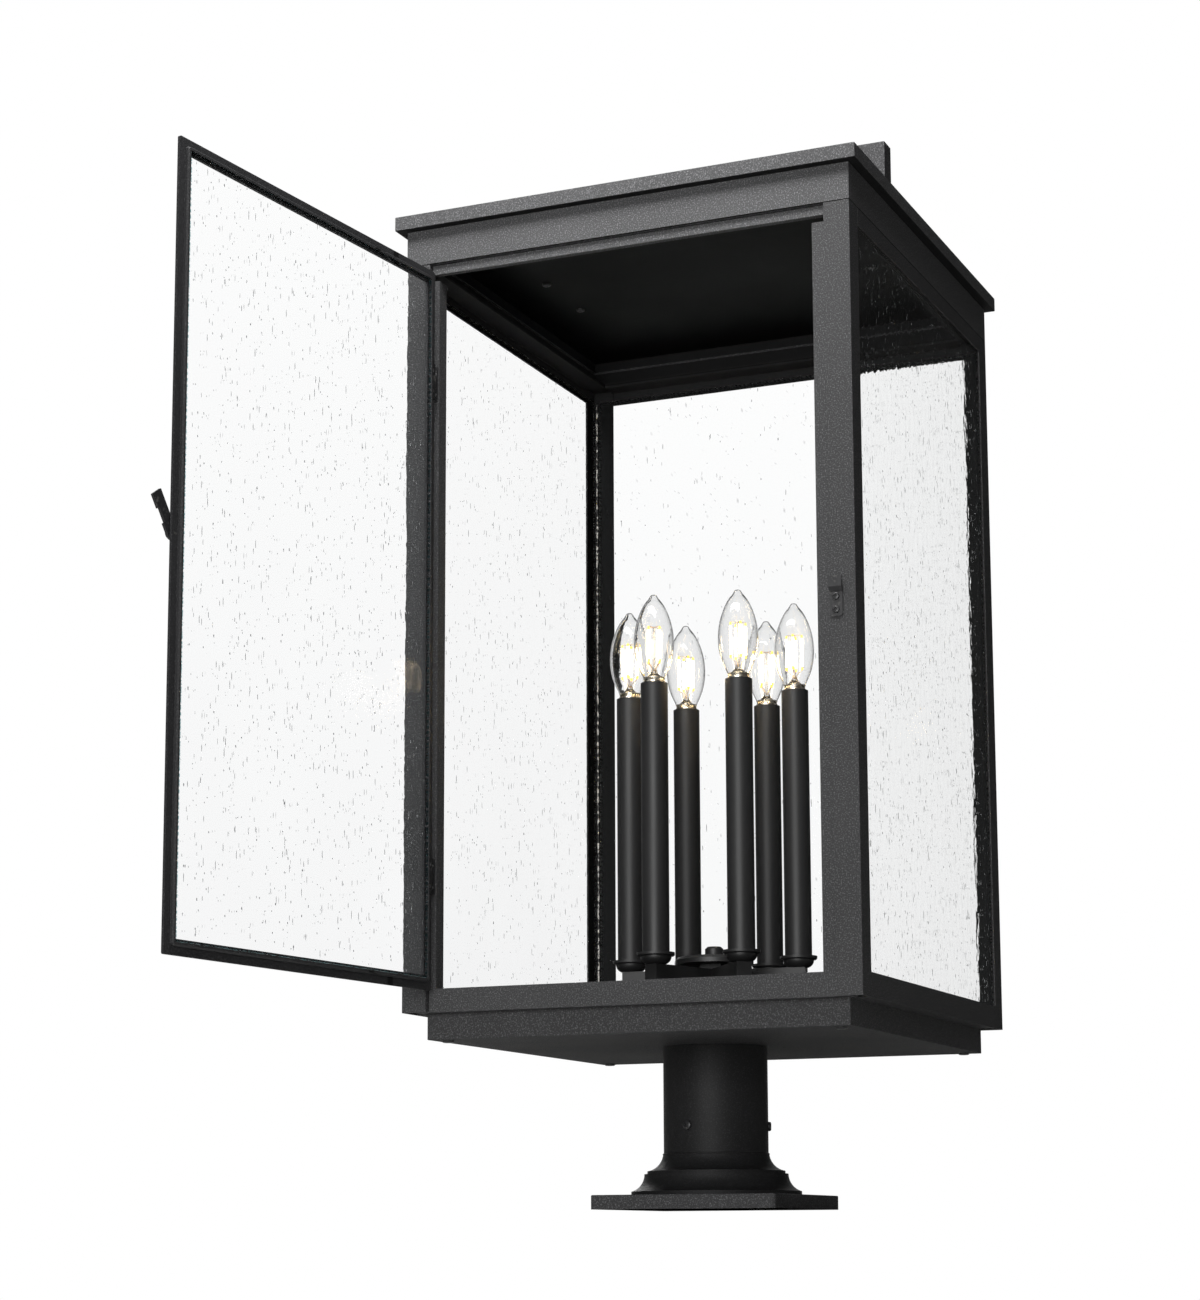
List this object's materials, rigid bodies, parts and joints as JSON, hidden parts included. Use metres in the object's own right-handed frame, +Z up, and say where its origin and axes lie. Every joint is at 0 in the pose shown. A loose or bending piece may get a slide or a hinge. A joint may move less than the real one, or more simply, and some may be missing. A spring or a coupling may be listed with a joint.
{
  "type": "pier mount light",
  "caption": "Square glazed outdoor lantern on a round pier fitter, with a hinged glass door, a latch lever, a flat roof with a handle arch and a candle cluster inside.",
  "frame": {"origin": "middle of the base plate's underside, on the column's axis", "axes": "+Z up along the column, -Y towards the door side, +X to the right seen from the door side"},
  "size_m": [0.4243, 0.7775, 0.9281],
  "materials": {
    "body_black": "fine textured black powder coat",
    "fitter_black": "smooth satin black powder coat",
    "candle_black": "satin black paint",
    "dark_hardware": "satin black, slightly worn",
    "plain_steel": "zinc plated",
    "fixed_glass": "clear seeded glass with small bubbles",
    "bulb_clear": "clear blown glass",
    "bulb_metal": "nickelled brass",
    "filament": "phosphor coated LED filament",
    "socket_plastic": "moulded phenolic"
  },
  "bodies": {
    "lantern": {"arm_spider": "candle_black", "base_plate": "fitter_black", "bobeches": "candle_black", "bottom_rail_back": "body_black", "bottom_rail_left": "body_black", "bottom_rail_right": "body_black", "bulb_bases": "bulb_metal", "bulb_glass": "bulb_clear", "bulb_stems": "bulb_clear", "candle_cups": "candle_black", "candle_sleeve_1": "candle_black", "candle_sleeve_2": "candle_black", "candle_sleeve_3": "candle_black", "candle_sleeve_4": "candle_black", "candle_sleeve_5": "candle_black", "candle_sleeve_6": "candle_black", "ceiling_plate": "body_black", "ceiling_screws": "dark_hardware", "centre_nipple": "plain_steel", "column_sleeve": "fitter_black", "finial_knob": "candle_black", "floor_plate": "body_black", "frame_leaf_screws": "plain_steel", "glass_back": "fixed_glass", "glass_left": "fixed_glass", "glass_right": "fixed_glass", "head_strip": "body_black", "header_box": "body_black", "hinge_frame_leaves": "dark_hardware", "hinge_pins": "dark_hardware", "hinge_stile": "body_black", "hub_disc": "candle_black", "keeper": "dark_hardware", "keeper_screws": "dark_hardware", "lamp_sockets": "socket_plastic", "led_filaments": "filament", "nipple_nuts": "plain_steel", "pier_flange": "fitter_black", "pier_spigot": "plain_steel", "post_back_left": "body_black", "post_back_right": "body_black", "post_front_left": "body_black", "post_front_right": "body_black", "roof_cap": "body_black", "roof_handle": "body_black", "sill_rail": "body_black", "sleeve_set_screws": "dark_hardware", "strike_stile": "body_black", "top_rail_back": "body_black", "top_rail_left": "body_black", "top_rail_right": "body_black", "tray_pan": "body_black", "tray_screws": "dark_hardware"},
    "door": {"door_frame": "body_black", "door_glass": "fixed_glass", "hinge_door_leaves": "dark_hardware", "door_leaf_screws": "plain_steel", "latch_pivot": "dark_hardware"},
    "lever": {"latch_lever": "dark_hardware"}
  },
  "joints": [
    {"name": "door_hinge", "type": "hinge", "parent": "lantern", "child": "door", "pos_m": [-0.1768, -0.2032, 0.4856], "axis": [0, 0, 1], "range_deg": [-74, 96.25]},
    {"name": "latch_turn", "type": "hinge", "parent": "door", "child": "lever", "pos_m": [-0.21264, -0.54634, 0.4885], "axis": [-0.9941, 0.1088, 0], "range_deg": [-55.5, 34.5]}
  ]
}
